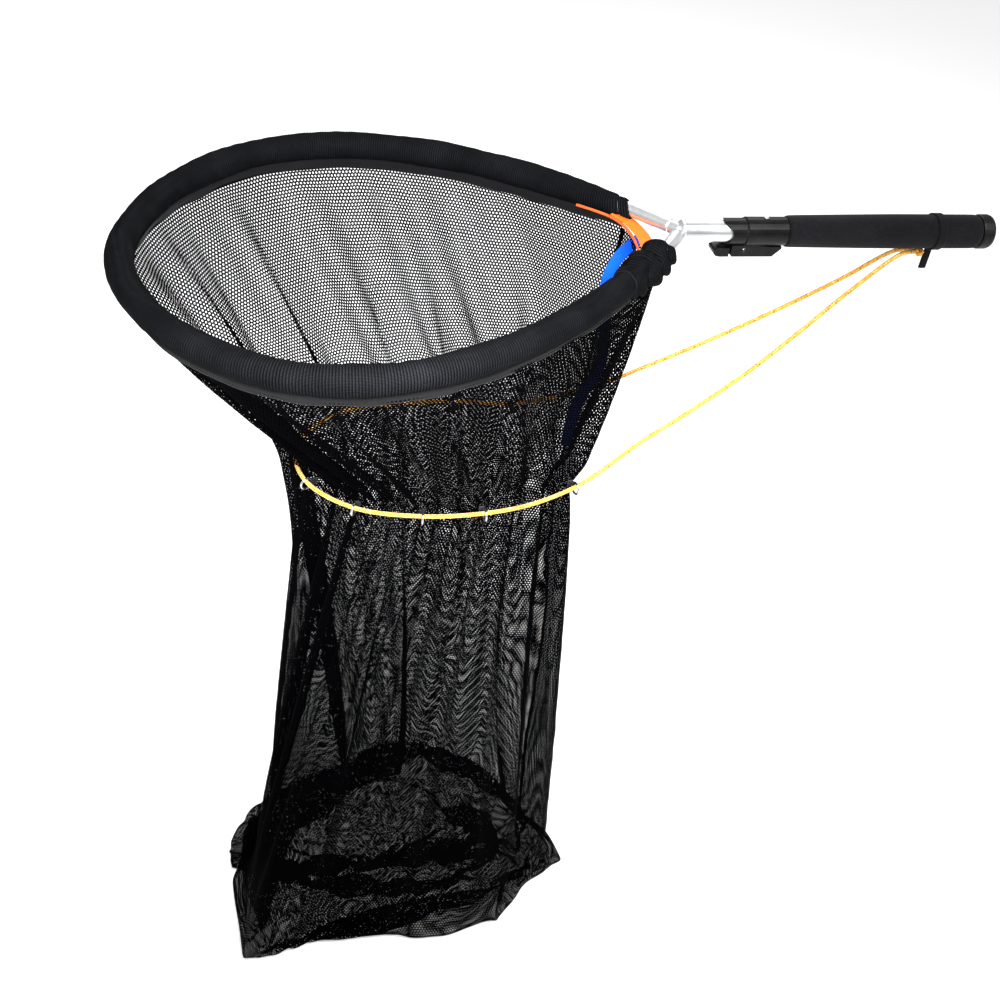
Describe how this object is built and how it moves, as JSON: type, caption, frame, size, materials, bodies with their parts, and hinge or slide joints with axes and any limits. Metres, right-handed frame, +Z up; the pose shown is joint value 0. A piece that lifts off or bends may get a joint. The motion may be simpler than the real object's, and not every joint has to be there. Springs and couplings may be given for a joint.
{
  "type": "landing net",
  "caption": "Hand-held landing net: padded egg-shaped hoop on a telescopic handle with a flip lock, and a deep mesh bag drawn in at the waist by a cord through rings.",
  "frame": {"origin": "middle of the hand hold, on the axis of the handle", "axes": "+X along the handle towards the butt, +Z up; the hoop is at -X and the bag hangs towards -Z"},
  "size_m": [0.992, 0.5168, 1.073],
  "materials": {
    "aluminium_tube": "bright satin",
    "steel": "polished",
    "black_plastic": "satin",
    "grip_foam": "matte closed-cell foam",
    "black_webbing": "woven",
    "rib_knit": "fine ribbed knit",
    "net_mesh": "open warp-knit mesh",
    "blue_webbing": "woven",
    "orange_fabric": "coated weave",
    "drawcord": "flecked braid"
  },
  "bodies": {
    "handle": {"outer_tube": "aluminium_tube", "grip_foam": "grip_foam", "butt_cap": "black_plastic", "lock_collar": "black_plastic", "collar_screw": "steel", "lever_pin": "steel", "anchor_band": "black_webbing", "anchor_tab": "black_webbing", "cord_knot": "drawcord"},
    "head": {"inner_tube": "aluminium_tube", "slide_bush": "black_plastic", "yoke": "aluminium_tube", "hoop_tube": "aluminium_tube", "hoop_sleeve": "rib_knit", "sleeve_cuff": "rib_knit", "sleeve_gather": "rib_knit", "sleeve_hem": "rib_knit", "orange_web": "orange_fabric", "orange_piping": "orange_fabric", "blue_strap": "blue_webbing", "net_upper": "net_mesh", "net_waist": "net_mesh", "net_lower": "net_mesh", "net_base": "net_mesh", "drawcord_near": "drawcord", "drawcord_loop": "drawcord", "drawcord_far": "drawcord", "ring_tab_01": "black_webbing", "ring_tab_02": "black_webbing", "ring_tab_03": "black_webbing", "ring_tab_04": "black_webbing", "ring_tab_05": "black_webbing", "ring_tab_06": "black_webbing", "ring_tab_07": "black_webbing", "ring_tab_08": "black_webbing", "ring_tab_09": "black_webbing", "ring_tab_10": "black_webbing"},
    "lock_lever": {"lock_lever": "black_plastic"},
    "ring_01": {"cord_ring_01": "steel"},
    "ring_02": {"cord_ring_02": "steel"},
    "ring_03": {"cord_ring_03": "steel"},
    "ring_04": {"cord_ring_04": "steel"},
    "ring_05": {"cord_ring_05": "steel"},
    "ring_06": {"cord_ring_06": "steel"},
    "ring_07": {"cord_ring_07": "steel"},
    "ring_08": {"cord_ring_08": "steel"},
    "ring_09": {"cord_ring_09": "steel"},
    "ring_10": {"cord_ring_10": "steel"}
  },
  "joints": [
    {"name": "telescope_slide", "type": "slide", "parent": "handle", "child": "head", "axis": [-1, 0, 0], "range_m": [0, 0.22], "deforming": ["drawcord_near", "drawcord_far"]},
    {"name": "lock_lever_flip", "type": "hinge", "parent": "handle", "child": "lock_lever", "pos_m": [-0.244, 0, -0.019], "axis": [0, -1, 0], "range_deg": [0, 75]},
    {"name": "ring_swing_01", "type": "hinge", "parent": "head", "child": "ring_01", "pos_m": [-0.42606, -0.09431, -0.2782], "axis": [0, 0, 1], "range_deg": [-25, 15]},
    {"name": "ring_swing_02", "type": "hinge", "parent": "head", "child": "ring_02", "pos_m": [-0.53868, -0.12703, -0.2832], "axis": [0, 0, 1], "range_deg": [-25, 25]},
    {"name": "ring_swing_03", "type": "hinge", "parent": "head", "child": "ring_03", "pos_m": [-0.60809, -0.12706, -0.2832], "axis": [0, 0, 1], "range_deg": [-25, 25]},
    {"name": "ring_swing_04", "type": "hinge", "parent": "head", "child": "ring_04", "pos_m": [-0.67959, -0.10888, -0.2822], "axis": [0, 0, 1], "range_deg": [-25, 25]},
    {"name": "ring_swing_05", "type": "hinge", "parent": "head", "child": "ring_05", "pos_m": [-0.7247, -0.06594, -0.2802], "axis": [0, 0, 1], "range_deg": [-25, 25]},
    {"name": "ring_swing_06", "type": "hinge", "parent": "head", "child": "ring_06", "pos_m": [-0.73033, -0.00614, -0.2802], "axis": [0, 0, 1], "range_deg": [-25, 25]},
    {"name": "ring_swing_07", "type": "hinge", "parent": "head", "child": "ring_07", "pos_m": [-0.67939, 0.054, -0.2812], "axis": [0, 0, 1], "range_deg": [-25, 25]},
    {"name": "ring_swing_08", "type": "hinge", "parent": "head", "child": "ring_08", "pos_m": [-0.59912, 0.07106, -0.2822], "axis": [0, 0, 1], "range_deg": [-25, 25]},
    {"name": "ring_swing_09", "type": "hinge", "parent": "head", "child": "ring_09", "pos_m": [-0.5354, 0.07301, -0.2822], "axis": [0, 0, 1], "range_deg": [-25, 25]},
    {"name": "ring_swing_10", "type": "hinge", "parent": "head", "child": "ring_10", "pos_m": [-0.46418, 0.063, -0.2812], "axis": [0, 0, 1], "range_deg": [-25, 25]}
  ]
}
